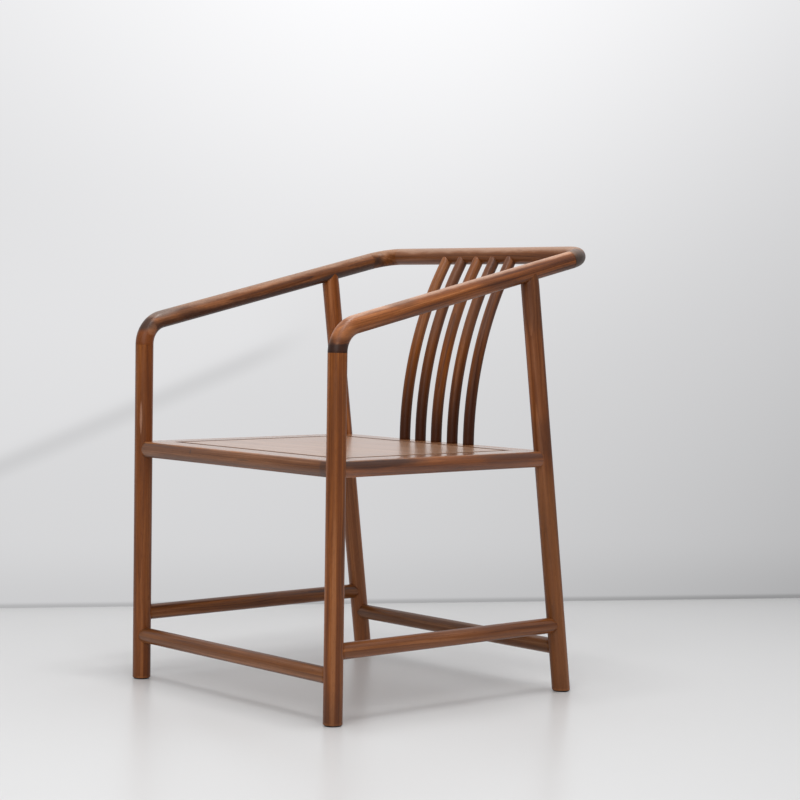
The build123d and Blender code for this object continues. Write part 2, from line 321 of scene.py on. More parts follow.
def wood(name, plank, way, bare=False, gloss=0.55, sheen=0.25, relief=1.0, satin=0.7):
    """Hardwood with growth rings round a pith, streaks, fibres, pores, end grain and worn edges.

    Its lacquer has a gloss, a sheen, which is the roughness of that gloss, and a satin loss of
    gloss at a slant. Bare wood has no lacquer, and takes its grain from its place in the object,
    because a solid from the frame has no grain attribute.
    """
    finish = bpy.context.scene.armchair_finish
    material, r = new_material(name)
    at = r.place()
    if bare:
        turned = {"Vector": at, "Rotation": (math.pi / 2, 0, 0)}
        grain = r.node("ShaderNodeMapping", {"vector_type": "POINT"}, turned).outputs[0]
    else:
        grain = r.attribute("grain", "Vector")
    shifted = r.vector("ADD", grain, (plank.seed * 1.37, plank.seed * 2.11, plank.seed * 3.73))
    flow = r.noise(shifted, (9, 9, 2.4))[1]
    swirl = r.vector("MULTIPLY", r.vector("SUBTRACT", flow, (0.5,) * 3), (0.016, 0.016, 0))
    bent = r.vector("ADD", grain, swirl)
    flat = r.vector("MULTIPLY", bent, (1, 1, 0))
    rings = r.distance(flat, plank.pith) / plank.ring + r.noise(shifted, (30, 30, 3), 1.0)[0] * 0.9
    years = r.node("ShaderNodeTexWhiteNoise", {"noise_dimensions": "1D"}, {"W": rings.whole()})
    late = rings.part() ** 4 * (Wire(r, years.outputs["Value"]) * 0.75 + 0.25)
    broad = r.noise(shifted, (26, 26, 2.1))[0]
    streak = r.noise(r.vector("ADD", bent, (plank.seed, 0, 0)), (130, 130, 3.0), 3.0, 0.55)[0]
    fibre = r.noise(shifted, (1100, 1100, 22), 2.0, 0.6)[0]
    pores = r.noise(shifted, (2600, 2600, 95), 1.0)[0].rise(0.60, 0.72)
    tone = (
        (broad - 0.5) * (0.9 * plank.streaks)
        + (streak - 0.5) * (1.15 * plank.streaks)
        + (fibre - 0.5) * 0.16
        - late * (0.30 * plank.across)
        + (0.56 + plank.level)
    )
    brown = [a * 0.45 + b * 0.55 for a, b in zip(finish.dark, finish.warm)]
    shades = ((0.08, finish.dark), (0.34, brown), (0.58, finish.warm), (0.92, finish.pale))
    stops = [(stop, rgba(tint, plank.gain)[:3]) for stop, tint in shades]
    shade = r.node("ShaderNodeValToRGB", {"stops": stops}, {0: tone}).outputs[0]
    normal = r.node("ShaderNodeNewGeometry").outputs["Normal"]
    ends = abs(r.dot(normal, way)).rise(*END_CUT)
    ends = ends * (r.noise(shifted, (60, 60, 60))[0].rise(0.25, 0.6) * 0.4 + 0.6)
    shade = r.mix(ends * 0.85, shade, rgba(finish.end))
    # tints by place: stains, and painted light and shade
    for stain_and_light in plank.stains_and_light:
        share, tint = stain_and_light(r, at, shifted)
        shade = r.mix(share, shade, rgba(tint))
    shade = r.mix(pores * (0.45 * plank.streaks), shade, rgba(finish.dark, (0.6, 0.6, 0.6)))
    wear = Wire(r, r.attribute("edge"))
    seam = Wire(r, r.attribute("seam"))
    patchy = r.noise(at, (45, 45, 45), 3.0)[0]
    worn = wear * patchy.rise(0.35, 0.65)
    shade = r.mix(worn * 0.30, shade, rgba(finish.pale))
    # painted shade: the seam darkens joints, along with finish build-up there, and the edge of the
    # seat's groove
    shade = r.mix(seam.rise(MATT_SEAM, JOINT) * 0.85, shade, rgba(finish.dark, (0.3, 0.3, 0.3)))
    smudge = r.noise(at, (14, 14, 14))[0]
    roughness = (
        (streak - 0.5) * 0.10 + (smudge - 0.5) * 0.12 + pores * 0.12 + worn * 0.10 + ends * 0.10
        + (0.6 if bare else 0.4)
    )
    height = fibre * 0.35 - pores * 0.9 - late * 0.30 + streak * 0.25
    bump = {"Strength": 0.22 * relief, "Distance": 0.0004, "Height": height}
    sockets = {
        "Base Color": shade,
        "Roughness": roughness,
        "Normal": r.node("ShaderNodeBump", None, bump).outputs[0],
        "Specular IOR Level": 0.2 if bare else 0.1,
    }
    if not bare:
        slant = Wire(r, r.node("ShaderNodeLayerWeight", None, {"Blend": 0.5}).outputs["Facing"])
        matt = worn * 0.4 + pores * (0.25 * plank.streaks) + seam * 2.0
        matt = matt + slant.rise(0.62, 0.95) * satin
        sockets["Coat Weight"] = (1 - matt.atmost(1)) * gloss
        sockets["Coat Roughness"] = sheen
        sockets["Coat IOR"] = 1.5
    r.surface(r.node("ShaderNodeBsdfPrincipled", None, sockets))
    return material


def plastic(name, shade):
    """Matt moulded plastic with a fine texture and scuffs."""
    material, r = new_material(name)
    at = r.place()
    fine = r.noise(at, (3500,) * 3)[0]
    scuff = r.noise(at, (260, 260, 40), 3.0)[0].rise(0.52, 0.70)
    height = fine - scuff * 0.4
    bump = r.node("ShaderNodeBump", None, {"Strength": 0.25, "Distance": 0.0002, "Height": height})
    r.surface(r.node("ShaderNodeBsdfPrincipled", None, {
        "Base Color": r.mix(scuff * 0.5, rgba(shade), rgba(shade, (4, 4, 4))),
        "Roughness": fine * 0.15 + scuff * 0.2 + 0.42,
        "Normal": bump.outputs[0],
    }))
    return material


# ---- turned and bent bars ----
def rims(grown):
    """Split what an extrusion or spin returns into vertices and edges."""
    verts = [g for g in grown if isinstance(g, bmesh.types.BMVert)]
    edges = [g for g in grown if isinstance(g, bmesh.types.BMEdge)]
    return verts, edges


def spin(mesh, geom, pivot, axis, angle, steps):
    """Extrude round an axis, and return the vertices and edges at the end."""
    spun = bmesh.ops.spin(
        mesh, geom=geom, cent=pivot, axis=axis, dvec=(0, 0, 0), angle=angle, steps=steps,
        use_merge=False, use_normal_flip=False, use_duplicate=False,
    )
    return rims(spun["geom_last"])


def turning(way):
    """Rotation that points +Z along a direction."""
    return way.to_track_quat("Z", "Y").to_matrix().to_4x4()


class Bar:
    """A round bar, grown from one rim to the next."""

    def __init__(self, start, way, radius, facets):
        self.mesh = bmesh.new()
        self.edge = self.mesh.verts.layers.float.new("edge")
        self.seam = self.mesh.verts.layers.float.new("seam")
        self.way = way.normalized()
        self.centre = start
        made = bmesh.ops.create_circle(
            self.mesh, cap_ends=False, segments=facets, radius=radius,
            matrix=Matrix.Translation(self.centre) @ turning(self.way),
        )
        self.verts = made["verts"]
        self.edges = list({e for v in self.verts for e in v.link_edges})
        self.first = list(self.edges)
        self.radius = radius

    def mark(self, edge=None, seam=None):
        """Edge wear, and a joint's dark line of finish build-up and painted shade, at the last rim,
        from 0 to 1.
        """
        for v in self.verts:
            if edge is not None:
                v[self.edge] = edge
            if seam is not None:
                v[self.seam] = seam
        return self

    def step(self, forward, radius=None, steps=1):
        """Extrude the last rim forward, to another radius if given."""
        goal = self.radius if radius is None else radius
        for i in range(steps):
            now = self.radius + (goal - self.radius) / (steps - i)
            grown = bmesh.ops.extrude_edge_only(self.mesh, edges=self.edges)
            self.verts, self.edges = rims(grown["geom"])
            move = self.way * (forward / steps)
            self.centre = self.centre + move
            bmesh.ops.translate(self.mesh, verts=self.verts, vec=move)
            self.swell(now)
        return self

    def swell(self, radius):
        """Bring the last rim to another radius."""
        share = radius / self.radius
        if abs(share - 1) > 1e-9:
            about = Matrix.Translation(-self.centre)
            bmesh.ops.scale(self.mesh, verts=self.verts, vec=(share,) * 3, space=about)
        self.radius = radius

    def round(self, size, steps=4):
        """A quarter round at the start, out to the bar's full radius."""
        base = self.radius
        for i in range(steps):
            a, b = i / steps * math.pi / 2, (i + 1) / steps * math.pi / 2
            self.step(size * (math.cos(a) - math.cos(b)), base + size * math.sin(b))
        return self

    def bend(self, pivot, axis, angle, steps, radius=None):
        """Spin the last rim round an axis, to another radius if given."""
        goal = self.radius if radius is None else radius
        for i in range(steps):
            self.verts, self.edges = spin(
                self.mesh, [*self.verts, *self.edges], pivot, axis, angle / steps, 1
            )
            turn = Matrix.Rotation(angle / steps, 3, axis)
            self.centre = pivot + turn @ (self.centre - pivot)
            self.way = turn @ self.way
            self.swell(self.radius + (goal - self.radius) / (steps - i))
        return self

    def meet_plane(self, point, normal):
        """Slide the last rim along the bar onto a plane."""
        for v in self.verts:
            v.co += self.way * ((Vector(point) - v.co).dot(normal) / self.way.dot(normal))
        return self

    def meet_bar(self, point, way, radius):
        """Slide the last rim along the bar, back or on, onto the near side of another round bar."""
        way = way.normalized()
        along = self.way - way * self.way.dot(way)
        for v in self.verts:
            off = v.co - point
            off = off - way * off.dot(way)
            a, b, c = along.dot(along), off.dot(along), off.dot(off) - radius * radius
            v.co += self.way * ((-b - math.sqrt(max(0.0, b * b - a * c))) / a)
        return self

    def cope(self, point, way, radius, hairline, shy=0.0):
        """End on the near side of another bar, narrower by shy, with an eased edge at the joint."""
        full = self.radius
        self.step(COPE, full - shy / 2).meet_bar(point, way, radius + COPE)
        self.step(COPE, full - shy).meet_bar(point, way, radius + hairline).mark(seam=BY_JOINT)
        self.step(COPE / 2, self.radius - hairline).meet_bar(point, way, radius - hairline)
        return self.mark(seam=JOINT)

    def turn_round(self, centre, radius):
        """Fill the last rim and go on from the first, the other way."""
        self.fill()
        self.edges = list(self.first)
        self.verts = list({v for e in self.first for v in e.verts})
        self.way, self.centre, self.radius = -self.way, centre, radius

    def fill(self):
        """Fill the last rim."""
        bmesh.ops.edgeloop_fill(self.mesh, edges=self.edges)
        return self.mesh

    def close(self):
        """Fill both ends."""
        bmesh.ops.edgeloop_fill(self.mesh, edges=self.first)
        return self.fill()


def cut(mesh, point, normal, drop=False):
    """Cut a mesh along a plane, and drop what lies beyond it if asked."""
    bmesh.ops.bisect_plane(
        mesh, geom=[*mesh.verts, *mesh.edges, *mesh.faces],
        plane_co=point, plane_no=normal, clear_outer=drop,
    )


def ease(mesh, edges, size, parts, clamp=True):
    """Round edges off, and return the vertices of the rounds."""
    made = bmesh.ops.bevel(
        mesh, geom=edges, offset=size, offset_type="OFFSET", segments=parts, profile=0.5,
        affect="EDGES", material=-1, clamp_overlap=clamp,
    )
    return made["verts"]


def groove_seam(v):
    """Painted shade on the rounded edge of the seat's groove, darker the deeper it goes."""
    return min(1.0, MATT_SEAM + (SEAT_TOP - v.co.z) / GROOVE_SHADE)


def straight_grain(origin, way, side=None):
    """Grain coordinates for wood that runs straight: two across, one along."""
    way = way.normalized()
    side = (side or (Y if abs(way.y) < 0.9 else X)).cross(way).normalized()
    across = way.cross(side)

    def lay(co):
        off = co - origin
        return Vector((off.dot(side), off.dot(across), off.dot(way)))

    return lay


def wooden_piece(mesh, node, shaping, slot, way, grain, **look):
    """Turn a bmesh into the wooden piece that stands for a node."""
    material = wood(f"{node}_wood", PLANKS[node], way, **look)
    finish_piece(mesh, f"{node}_{shaping}", node, material, grain)


def put(name, data):
    """Add an object to the scene."""
    made = bpy.data.objects.new(name, data)
    bpy.context.scene.collection.objects.link(made)
    return made


def put_mesh(name, mesh, material):
    """Add a bmesh to the scene, with its material."""
    data = bpy.data.meshes.new(name)
    mesh.to_mesh(data)
    mesh.free()
    data.materials.append(material)
    return put(name, data)


def finish_piece(mesh, name, node, material, grain):
    """Turn a bmesh into a piece that stands for a node and rides on the chair."""
    bmesh.ops.recalc_face_normals(mesh, faces=mesh.faces)
    layer = mesh.verts.layers.float_vector.new("grain")
    for v in mesh.verts:
        v[layer] = grain(v.co)
    for face in mesh.faces:
        face.smooth = True
    piece = put_mesh(name, mesh, material)
    piece.data.set_sharp_from_angle(angle=SHARP)
    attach(piece, "root")
    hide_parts(node)


# ---- the chair's lines ----
LEG_SLANT = Vector((0, -math.sin(BACK_RAKE), math.cos(BACK_RAKE)))


def leg_line(side, end):
    """A point on a leg's axis at the floor, and the axis' direction upwards."""
    if end < 0:
        return Vector((side * LEG_X, FRONT_Y, 0)), Z
    return Vector((side * LEG_X, BACK_Y, 0)), LEG_SLANT


def leg_point(side, end, height):
    """Point on a leg's axis at a height."""
    foot, way = leg_line(side, end)
    return foot + way * (height / way.z)


SEAT_BACK_Y = leg_point(1, 1, SEAT_TOP).y


def bow(sizes):
    """The plane of arms and crest rail: a point on the crest's axis, its slope and its rise."""
    crest = CREST_HIGH - Vector((0, 1, 1)) * (sizes.arm_d / 2)
    crest.x = 0
    slope = math.atan2(crest.z - sizes.arm_z, crest.y - FRONT_Y)
    return crest, slope, Vector((0, math.cos(slope), math.sin(slope)))


def elbow_drop(sizes):
    """How far an arm's joint with its front leg lies below the corner of their axes."""
    return sizes.elbow * math.tan((math.pi / 2 - bow(sizes)[1]) / 2)


# ---- stains and painted light and shade: shares of a tint, by place ----
def band(axis, low, high, tint, share=1.0, wobble=0.0):
    """A tint that comes in between two places along an axis, with a wavering edge."""

    def stain_and_light(r, at, shifted):
        wave = (r.noise(shifted, (70, 70, 25))[0] - 0.5) * wobble
        return (r.dot(at, axis) + wave).rise(low, high) * share, tint

    return stain_and_light


def patch(centre, reach, tint, share=1.0, wobble=0.6):
    """A tint round a point, fading out at the given reach along each axis."""

    def stain_and_light(r, at, shifted):
        off = r.vector("MULTIPLY", r.vector("SUBTRACT", at, centre), tuple(1 / x for x in reach))
        far = r.distance(off, (0, 0, 0)) + (r.noise(shifted, (60, 60, 20))[0] - 0.5) * wobble
        return far.rise(1.15, 0.55) * share, tint

    return stain_and_light


BOW_OUT = (0, -0.228, 0.9737)  # square to the plane of arms and crest rail
BOW_AT = 0.7063  # where their axes lie along it
ACROSS_LEG = (0.658, 0.753, 0)
ALL_ALONG = 9.0
SOOT, UMBER, RUST = (0.040, 0.024, 0.018), (0.050, 0.018, 0.009), (0.110, 0.026, 0.007)
# colour of the painted highlight along the tops of the bow
MAUVE = (0.42, 0.255, 0.170)
# painted light: the top faces of the seat rails lighter and pinker, as they catch the light from
# above
PAINTED_RAIL_TOP_LIGHT = band(Z, SEAT_TOP - 0.0012, SEAT_TOP - 0.0003, (0.32, 0.145, 0.065), 0.75)


def foot_shade(start):
    """Painted shade that darkens a slat down towards the seat it stands in."""
    return band(Z, start, 0.455, (0.042, 0.0105, 0.0028), 0.94, 0.03)


def dull_head(tint, share):
    """A greyer tint up a slat towards the crest rail."""
    return band(Z, 0.605, 0.665, tint, share, 0.02)


def painted_top_highlight(share):
    """Painted highlight: pale mauve-grey along the top of a level bar of the bow."""
    return band(BOW_OUT, BOW_AT + 0.007, BOW_AT + 0.015, MAUVE, share, 0.010)


SLAT_SHADE_AND_TINT = (foot_shade(0.67), dull_head((0.098, 0.064, 0.053), 0.35))
PALE_HEAD = dull_head((0.150, 0.090, 0.070), 0.25)

DUN = (0.85, 0.85, 0.90)
PLANKS = {
    "front_leg_left": Plank(1.3, (55, -80), 3.6, (0.86, 0.80, 0.66), stains_and_light=(
        # bands across the leg as the camera sees it, redder on its right and darker on its left
        # edge: partly grain streaks and partly painted shade
        band(ACROSS_LEG, -0.4023, -0.3963, RUST, 0.30, 0.008),
        band(ACROSS_LEG, -0.4105, -0.4175, (0.15, 0.045, 0.012), 0.6, 0.004),
        # painted highlight: a small pale patch on the front of the leg, above the seat
        patch((-0.270, -0.3055, 0.485), (0.0022, 0.0022, 0.030), (0.46, 0.24, 0.15), 0.55, 1.3),
    )),
    "front_leg_right": Plank(2.7, (-60, -70), 3.2, (0.93, 0.88, 0.75), stains_and_light=(
        # stripes down the face of the leg, red-brown and lighter orange: partly grain streaks,
        # partly painted shade and painted light
        patch((0.2962, -0.2968, 0.30), (0.0050, 0.0050, ALL_ALONG), RUST, 0.4, 0.5),
        patch((0.2925, -0.3035, 0.15), (0.0045, 0.0045, 0.27), (0.36, 0.14, 0.05), 0.5, 0.5),
        band(Z, 0.075, 0.015, UMBER, 0.35, 0.03),
    )),
    "back_leg_left": Plank(4.1, (70, 40), 3.6, (0.87, 0.80, 0.72), stains_and_light=(
        band(Z, 0.42, 0.36, (0.34, 0.15, 0.07), 0.22, 0.05),
    )),
    "back_leg_right": Plank(5.9, (-45, 85), 3.0, (0.67, 0.62, 0.64), stains_and_light=(
        band(Z, 0.44, 0.36, (0.24, 0.088, 0.024), 0.4, 0.05),
        patch((0.28, 0.19, 0.465), (0.05, 0.05, 0.045), UMBER, 0.35),
        # painted shade at the top of the leg, under the arm
        patch((0.28, 0.155, 0.72), (0.05, 0.05, 0.08), UMBER, 0.42),
    )),
    "arm_left": Plank(7.7, (50, 60), 3.4, (0.66, 0.66, 0.76), streaks=1.5, stains_and_light=(
        painted_top_highlight(0.55),
        band(BOW_OUT, BOW_AT + 0.004, BOW_AT - 0.007, UMBER, 0.85, 0.014),
        patch((-0.280, -0.150, 0.676), (0.03, 0.12, 0.016), UMBER, 0.8),
        patch((-0.272, -0.294, 0.630), (0.032, 0.040, 0.024), (0.180, 0.046, 0.006), 0.94, 0.6),
        patch((-0.264, -0.286, 0.647), (0.008, 0.012, 0.012), (0.40, 0.19, 0.10), 0.4, 0.4),
        # painted shade, grey and dark, on the outer side of the elbow's bend, here and in the next
        # line
        patch((-0.282, -0.262, 0.683), (0.030, 0.040, 0.020), (0.17, 0.125, 0.105), 0.75),
        patch((-0.280, -0.298, 0.657), (0.028, 0.026, 0.015), (0.050, 0.024, 0.015), 0.88, 0.5),
    )),
    "arm_right": Plank(8.3, (-60, 55), 3.4, (1.05, 1.0, 0.95), streaks=1.4, stains_and_light=(
        # painted highlight: a pale band along the top of the arm
        band(BOW_OUT, BOW_AT + 0.0115, BOW_AT + 0.0158, (0.66, 0.40, 0.27), 0.55, 0.004),
        band(BOW_OUT, BOW_AT - 0.004, BOW_AT - 0.012, UMBER, 0.40, 0.012),
        patch((0.280, -0.165, 0.703), (0.03, 0.05, 0.010), UMBER, 0.4),
        patch((0.274, -0.285, 0.655), (0.030, 0.030, 0.022), (0.42, 0.17, 0.07), 0.35),
        band(Z, 0.637, 0.631, (0.026, 0.008, 0.004), 0.92, 0.008),
        patch((0.272, 0.24, 0.770), (0.03, 0.07, 0.012), UMBER, 0.5),
        patch((0.285, 0.09, 0.737), (0.03, 0.08, 0.011), UMBER, 0.4),
    )),
    "crest_rail": Plank(9.9, (60, -60), 3.8, (0.72, 0.76, 0.9), stains_and_light=(
        painted_top_highlight(0.65),
        patch((-0.268, 0.264, 0.782), (0.016, 0.014, 0.014), UMBER, 0.55, 1.0),
        patch((0.280, 0.262, 0.786), (0.024, 0.026, 0.024), (0.066, 0.046, 0.035), 0.85, 0.5),
    )),
    "back_slat_1": Plank(11.2, (40, 50), 3.0, (1.08, 1.08, 1.0), stains_and_light=SLAT_SHADE_AND_TINT),
    "back_slat_2": Plank(12.6, (-45, 60), 3.0, DUN, -0.16, stains_and_light=SLAT_SHADE_AND_TINT),
    "back_slat_3": Plank(13.1, (35, -55), 3.0, (1.1, 1.1, 1), stains_and_light=(foot_shade(0.62), PALE_HEAD)),
    "back_slat_4": Plank(13.9, (-50, -40), 3.0, DUN, -0.17, stains_and_light=SLAT_SHADE_AND_TINT),
    "back_slat_5": Plank(15.5, (60, 20), 3.0, DUN, -0.12, stains_and_light=(foot_shade(0.67), PALE_HEAD)),
    "seat_rail_front": Plank(16.4, (30, -75), 3.6, (0.68, 0.74, 0.95), stains_and_light=(
        patch((-0.116, -0.3046, 0.432), (0.0025, 0.004, 0.006), SOOT, 0.6),
        patch((0.040, -0.3046, 0.427), (0.020, 0.004, 0.002), SOOT, 0.35),
        patch((0.259, -0.3046, 0.426), (0.009, 0.010, 0.030), UMBER, 0.6),
        PAINTED_RAIL_TOP_LIGHT,
    )),
    "seat_rail_back": Plank(17.9, (20, 80), 3.6, (0.8, 0.85, 1.0), stains_and_light=(PAINTED_RAIL_TOP_LIGHT,)),
    "seat_rail_left": Plank(18.2, (-30, 70), 3.6, (0.8, 0.85, 1.0), stains_and_light=(PAINTED_RAIL_TOP_LIGHT,)),
    "seat_rail_right": Plank(19.6, (35, 65), 3.6, (0.95, 0.88, 0.82), stains_and_light=(
        patch((0.2923, -0.225, 0.435), (0.02, 0.125, 0.012), (0.040, 0.012, 0.006), 0.88),
        patch((0.2923, 0.10, 0.432), (0.02, 0.075, 0.013), (0.085, 0.029, 0.015), 0.55),
        PAINTED_RAIL_TOP_LIGHT,
    )),
    "seat_panel": Plank(21.4, (20, -90), 4.2, (1.50, 2.55, 6.8), streaks=0.3, across=0.45),
    "stretcher_front": Plank(22.3, (50, -50), 3.2, (0.82, 0.92, 1.2)),
    "stretcher_back": Plank(23.7, (-50, -60), 3.2, (0.58, 0.64, 0.75)),
    "stretcher_left": Plank(24.9, (45, 50), 3.2, (0.78, 0.80, 0.85)),
    "stretcher_right": Plank(25.1, (-55, 45), 3.2, (0.82, 0.84, 0.98)),
}
BARE = (1.4, 1.7, 2.2)
BARE_PLANKS = {
    "seat_batten_left": Plank(31.1, gain=BARE), "seat_batten_right": Plank(32.7, gain=BARE),
    "bow_dowel_left": Plank(33.3, gain=BARE), "bow_dowel_right": Plank(34.9, gain=BARE),
}


# ---- stage ----
def lamp(name, place, away, size, power):
    """A square lamp whose back faces away from the chair."""
    data = bpy.data.lights.new(name, "AREA")
    data.shape, data.size, data.energy = "SQUARE", size, power
    put(name, data).matrix_world = Matrix.Translation(place) @ turning(away)


def sheet(name, matrix, material):
    """A large flat square of the stage."""
    mesh = bmesh.new()
    bmesh.ops.create_grid(mesh, x_segments=1, y_segments=1, size=SHEET_SIZE / 2, matrix=matrix)
    return put_mesh(name, mesh, material)


def floor_paint(shade):
    """Smooth pale floor with a soft sheen."""
    material, r = new_material("floor_paint")
    at = r.place()
    cloud = r.noise(at, (0.8, 0.8, 0.8), 0.0)[0]
    r.surface(r.node("ShaderNodeBsdfPrincipled", None, {
        "Base Color": r.mix(cloud * 0.12, rgba(shade), rgba(shade, (0.95, 0.95, 0.95))),
        "Roughness": cloud * 0.06 + 0.26,
        "Specular IOR Level": 0.2,
    }))
    return material


def wall_glow(right):
    """Pale wall that glows with painted light: brighter towards the top, dark along its foot with
    painted shade, and crossed by a painted shadow; seen only from its front.
    """
    material, r = new_material("wall_glow")
    at = r.place()
    sideways = r.dot(at, right) - WALL_FOOT.dot(right)
    height = r.dot(at, Z)
    spot = r.node("ShaderNodeCombineXYZ", None, {0: sideways, 1: height}).outputs[0]
    glow = r.distance(spot, (0, 1.6, 0))
    level = (
        height * 0.136 + height * height * 0.028 - sideways * 0.095 - sideways * sideways * 0.055
        + sideways * height * 0.048 + glow.rise(1.2, 0.0) * 0.137 + 0.626
        - height.rise(0.16, 0.0) * 0.05 - height.rise(0.014, 0.003) * 0.16
    )
    above = height - sideways * 0.435 - 0.7215  # a soft band of painted shadow that climbs to the right, with painted light just above it
    shaded = above.rise(-0.042, 0.0) * above.rise(0.038, 0.0) * sideways.rise(-0.20, -0.38)
    lit = above.rise(0.0, 0.06) * height.rise(1.0, 0.6) * sideways.rise(-0.15, -0.40)
    level = level - shaded * 0.075 + lit * 0.035
    white = r.mix(level.atleast(0.3).atmost(1.0), (0, 0, 0, 1), (0.986, 0.986, 1, 1))
    painted_glow = r.node("ShaderNodeEmission", None, {"Color": white, "Strength": 1.0})
    clear = r.node("ShaderNodeBsdfTransparent")
    behind = Wire(r, r.node("ShaderNodeNewGeometry").outputs["Backfacing"])
    sockets = {0: behind, 1: painted_glow.outputs[0], 2: clear.outputs[0]}
    r.surface(r.node("ShaderNodeMixShader", None, sockets))
    return material


# ---- operators ----
class ArmchairLegs(bpy.types.Operator):
    """Turn the four legs, with rounded feet, eased front tops and back tops a little narrower"""

    bl_idname = "armchair.legs"
    bl_label = "Legs"

    def execute(self, context):
        s = context.scene.armchair_sizes
        leg_r, arm_r = s.leg_d / 2, s.arm_d / 2
        crest, _, rise = bow(s)
        for side, side_name, end, end_name in CORNERS:
            node = f"{end_name}_leg_{side_name}"
            foot, way = leg_line(side, end)
            bar = Bar(leg_point(side, end, GLIDE_T), way, leg_r - s.foot_round, s.facets)
            bar.meet_plane((0, 0, GLIDE_T), Z).mark(edge=0.6)
            for i in range(1, 6):
                turn = i / 5 * math.pi / 2
                lift = GLIDE_T + s.foot_round * (1 - math.cos(turn))
                bar.step(MM, leg_r - s.foot_round * (1 - math.sin(turn)))
                bar.meet_plane((0, 0, lift), Z).mark(edge=1.0)
            bar.centre = leg_point(side, end, lift)
            bar.step(COPE).mark(edge=0.0)
            arm_axis = crest + X * (side * LEG_X)
            if end < 0:
                stop = s.arm_z - elbow_drop(s)
                bar.step(stop - bar.centre.z - s.hairline, steps=14).mark(seam=BY_ELBOW)
                bar.step(s.hairline, leg_r - s.hairline).mark(seam=ELBOW_JOINT)
            else:
                normal = X.cross(rise)
                stop = (arm_axis - foot).dot(normal) / way.dot(normal) * way.z
                top = leg_point(side, end, stop) - way * (arm_r + 2 * COPE)
                bar.step((top - bar.centre).dot(way), steps=12)
                bar.cope(arm_axis, rise, arm_r, s.hairline, s.leg_tip_shy)
            grain = straight_grain(foot, way)
            wooden_piece(bar.close(), node, "turned", "frame_wood", way, grain, gloss=0.4)
        return {"FINISHED"}


class ArmchairGlides(bpy.types.Operator):
    """Mould the plastic glides under the feet"""

    bl_idname = "armchair.glides"
    bl_label = "Glides"

    def execute(self, context):
        s = context.scene.armchair_sizes
        material = plastic("glide_plastic", context.scene.armchair_finish.glide)
        for _, side_name, _, end_name in CORNERS:
            node = f"glide_{end_name}_{side_name}"
            centre = Vector((*middle(node).xy, 0))
            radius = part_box(node)[1].x - centre.x
            edge = GLIDE_T / 3
            bar = Bar(centre, Z, radius - edge, s.facets)
            bar.round(edge).step(GLIDE_T - edge)
            grain = straight_grain(centre, Z)
            finish_piece(bar.close(), f"{node}_moulded", node, material, grain)
        return {"FINISHED"}


class ArmchairArms(bpy.types.Operator):
    """Bend the arms: up out of the front legs, round the elbow and up the slope"""

    bl_idname = "armchair.arms"
    bl_label = "Arms"

    def execute(self, context):
        s = context.scene.armchair_sizes
        crest, slope, rise = bow(s)
        arm_r, leg_r = s.arm_d / 2, s.leg_d / 2
        straight = (crest.y - FRONT_Y) / rise.y - s.corner - elbow_drop(s)
        for side, side_name in SIDES:
            node = f"arm_{side_name}"
            start = Vector((side * LEG_X, FRONT_Y, s.arm_z - elbow_drop(s)))
            bar = Bar(start, Z, leg_r - s.hairline, s.facets).mark(seam=ELBOW_JOINT)
            bar.step(s.hairline, leg_r).mark(seam=BY_ELBOW)
            bar.bend(start + Y * s.elbow, -X, math.pi / 2 - slope, 32, arm_r).mark(seam=0.0)
            bar.step(straight - STOP_SHORT, steps=36)
            bar.step(STOP_SHORT - s.hairline, steps=2).mark(seam=BY_JOINT)
            bar.step(s.hairline, arm_r - s.hairline).mark(seam=JOINT)
            mesh = bar.close()
            for v in mesh.verts:  # the bend carries the joint's shading on
                if v.co.z > start.z + COPE and v.co.y < 0:
                    v[bar.seam] = 0.0
            grain = straight_grain(start, rise)
            wooden_piece(mesh, node, "bent", "frame_wood", rise, grain, gloss=0.45, sheen=0.36)
        return {"FINISHED"}


class ArmchairCrestRail(bpy.types.Operator):
    """Bend the crest rail, with its two corners"""

    bl_idname = "armchair.crest_rail"
    bl_label = "Crest rail"

    def execute(self, context):
        s = context.scene.armchair_sizes
        crest, _, rise = bow(s)
        down = rise.cross(X)
        arm_r = s.arm_d / 2
        start = crest - X * LEG_X - rise * s.corner
        bar = Bar(start, rise, arm_r - s.hairline, s.facets).mark(seam=JOINT)
        bar.step(s.hairline, arm_r).mark(seam=BY_JOINT)
        bar.bend(start + X * s.corner, down, math.pi / 2, 28).mark(seam=0.0)
        bar.step(2 * (LEG_X - s.corner), steps=36)
        bar.bend(bar.centre - rise * s.corner, down, math.pi / 2, 28).mark(seam=BY_JOINT)
        bar.step(s.hairline, arm_r - s.hairline).mark(seam=JOINT)
        grain = straight_grain(crest, X)
        wooden_piece(bar.close(), "crest_rail", "bent", "frame_wood", X, grain, sheen=0.36)
        return {"FINISHED"}


class ArmchairSlats(bpy.types.Operator):
    """Bend the back slats from the seat up into the crest rail"""

    bl_idname = "armchair.slats"
    bl_label = "Back slats"

    def execute(self, context):
        s = context.scene.armchair_sizes
        crest = bow(s)[0]
        foot_y = SEAT_BACK_Y - s.slat_setin
        up, run = crest.z - SEAT_TOP, crest.y - s.slat_lead - foot_y
        sweep = (up * up + run * run) / (2 * run)
        arm_r, slat_r = s.arm_d / 2, s.slat_d / 2
        for i, x in enumerate(SLAT_X):
            node = f"back_slat_{i + 1}"
            foot = Vector((x, foot_y, SEAT_TOP))
            pivot = foot + Y * sweep
            bar = Bar(foot - Z * SUNK, Z, slat_r - s.hairline, s.facets * 3 // 4).mark(seam=JOINT)
            bar.step(SUNK + s.hairline, slat_r).mark(seam=0.6)
            bar.step(COPE).mark(seam=0.0)
            bar.bend(pivot, -X, math.asin(up / sweep) - (arm_r + 14 * MM) / sweep, 40)
            bar.cope(crest, X, arm_r, s.hairline)

            def grain(co, x=x, pivot=pivot):
                off = co - pivot
                turn = math.atan2(off.z, -off.y)
                return Vector((co.x - x, sweep - math.hypot(off.y, off.z), turn * sweep))

            wooden_piece(bar.close(), node, "bent", "slat_wood", Z, grain, gloss=0.2, satin=1.0)
        return {"FINISHED"}


